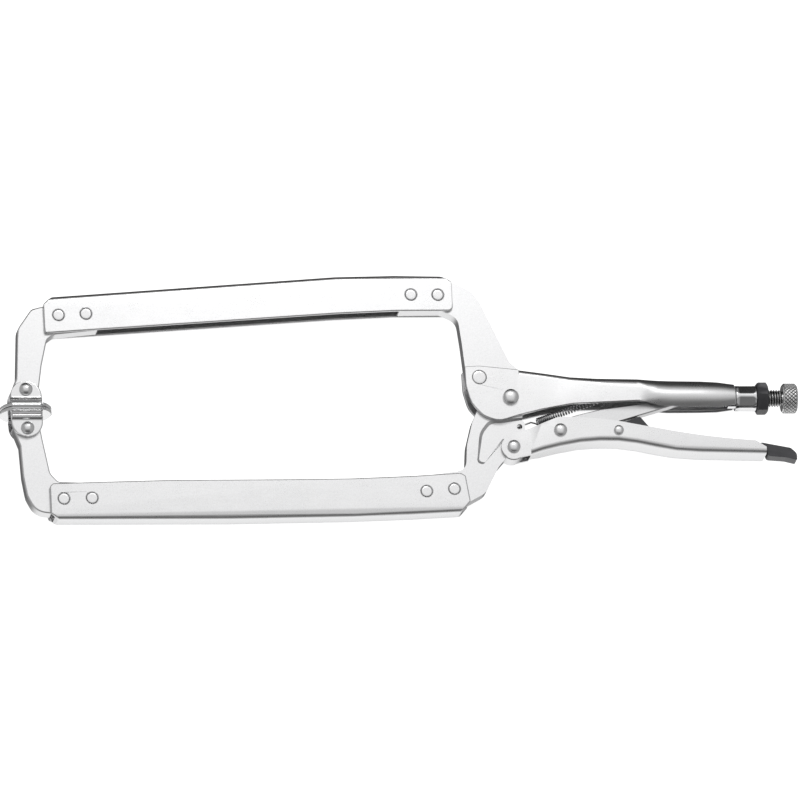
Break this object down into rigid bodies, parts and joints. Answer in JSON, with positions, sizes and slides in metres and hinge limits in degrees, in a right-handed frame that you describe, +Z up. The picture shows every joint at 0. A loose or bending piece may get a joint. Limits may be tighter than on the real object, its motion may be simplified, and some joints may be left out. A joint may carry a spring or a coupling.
{
  "type": "locking c clamp",
  "caption": "Long-reach locking C-clamp with folded steel jaw arms, swivel pads, over-centre toggle lever and screw adjustment.",
  "frame": {"origin": "middle of the clamp's underside, as it lies on its side with the jaws closed", "axes": "+X along the clamp towards the adjusting knob, +Y towards the fixed arm, +Z up, square to the plane in which the jaws move"},
  "size_m": [0.4596, 0.1458, 0.024],
  "materials": {
    "nickel_plated_steel": "satin nickel-plated pressed steel",
    "bright_steel": "polished bright plated steel",
    "black_oxide": "black oxide with an oily sheen"
  },
  "bodies": {
    "handle": {"handle_body": "nickel_plated_steel", "thread_sleeve": "bright_steel", "upper_knuckle": "nickel_plated_steel", "upper_arm": "nickel_plated_steel", "upper_arm_rivet_1": "nickel_plated_steel", "upper_arm_rivet_2": "nickel_plated_steel", "upper_arm_rivet_3": "nickel_plated_steel", "upper_arm_rivet_4": "nickel_plated_steel", "upper_jaw_tip": "nickel_plated_steel", "nose_rivet": "nickel_plated_steel", "jaw_pivot_rivet": "nickel_plated_steel", "upper_pad_rivet": "nickel_plated_steel", "tension_spring": "nickel_plated_steel"},
    "lock_nut": {"lock_nut": "black_oxide"},
    "screw": {"screw_shank": "nickel_plated_steel"},
    "knob": {"knurled_knob": "nickel_plated_steel"},
    "moving_jaw": {"lower_knuckle": "nickel_plated_steel", "lower_arm": "nickel_plated_steel", "lower_arm_rivet_1": "nickel_plated_steel", "lower_arm_rivet_2": "nickel_plated_steel", "lower_arm_rivet_3": "nickel_plated_steel", "lower_arm_rivet_4": "nickel_plated_steel", "lower_jaw_tip": "nickel_plated_steel", "lever_pivot_rivet": "nickel_plated_steel", "lower_pad_rivet": "nickel_plated_steel"},
    "upper_swivel_pad": {"upper_pad": "nickel_plated_steel"},
    "lower_swivel_pad": {"lower_pad": "nickel_plated_steel"},
    "lever": {"lever_handle": "nickel_plated_steel", "link_rivet": "nickel_plated_steel", "release_rivet": "nickel_plated_steel"},
    "link": {"toggle_link": "nickel_plated_steel"},
    "release": {"release_lever": "black_oxide"}
  },
  "joints": [
    {"name": "jaw_swing", "type": "hinge", "parent": "handle", "child": "moving_jaw", "pos_m": [0.0638, -0.00053, 0.012], "axis": [0, 0, 1], "range_deg": [0, 16], "deforming": ["tension_spring"]},
    {"name": "lever_swing", "type": "hinge", "parent": "moving_jaw", "child": "lever", "pos_m": [0.0642, -0.02993, 0.012], "axis": [0, 0, 1], "range_deg": [-60, 0]},
    {"name": "link_swing", "type": "hinge", "parent": "lever", "child": "link", "pos_m": [0.0912, -0.02073, 0.012], "axis": [0, 0, 1], "range_deg": [0, 60]},
    {"name": "release_squeeze", "type": "hinge", "parent": "lever", "child": "release", "pos_m": [0.1248, -0.02083, 0.012], "axis": [0, 0, 1], "range_deg": [0, 3]},
    {"name": "upper_pad_swivel", "type": "hinge", "parent": "handle", "child": "upper_swivel_pad", "pos_m": [-0.2148, 0.00427, 0.012], "axis": [0, 0, 1], "range_deg": [0, 8]},
    {"name": "lower_pad_swivel", "type": "hinge", "parent": "moving_jaw", "child": "lower_swivel_pad", "pos_m": [-0.2148, -0.01873, 0.012], "axis": [0, 0, 1], "range_deg": [-8, 0]},
    {"name": "knob_turn", "type": "hinge", "parent": "screw", "child": "knob", "pos_m": [0.2214, 0.00087, 0.012], "axis": [1, 0, 0], "range_deg": [0, 4325]},
    {"name": "screw_travel", "type": "slide", "parent": "handle", "child": "screw", "axis": [1, 0, 0], "range_m": [0, 0.018]},
    {"name": "lock_nut_turn", "type": "hinge", "parent": "handle", "child": "lock_nut", "pos_m": [0.20965, 0.00087, 0.012], "axis": [1, 0, 0], "continuous": true}
  ],
  "couplings": [
    {"joint": "lever_swing", "follows": "jaw_swing", "ratio": -3.72},
    {"joint": "link_swing", "follows": "jaw_swing", "ratio": 3.72},
    {"joint": "upper_pad_swivel", "follows": "jaw_swing", "ratio": 0.5},
    {"joint": "lower_pad_swivel", "follows": "jaw_swing", "ratio": -0.5},
    {"joint": "knob_turn", "follows": "screw_travel", "rad_per_m": 4188.8}
  ]
}
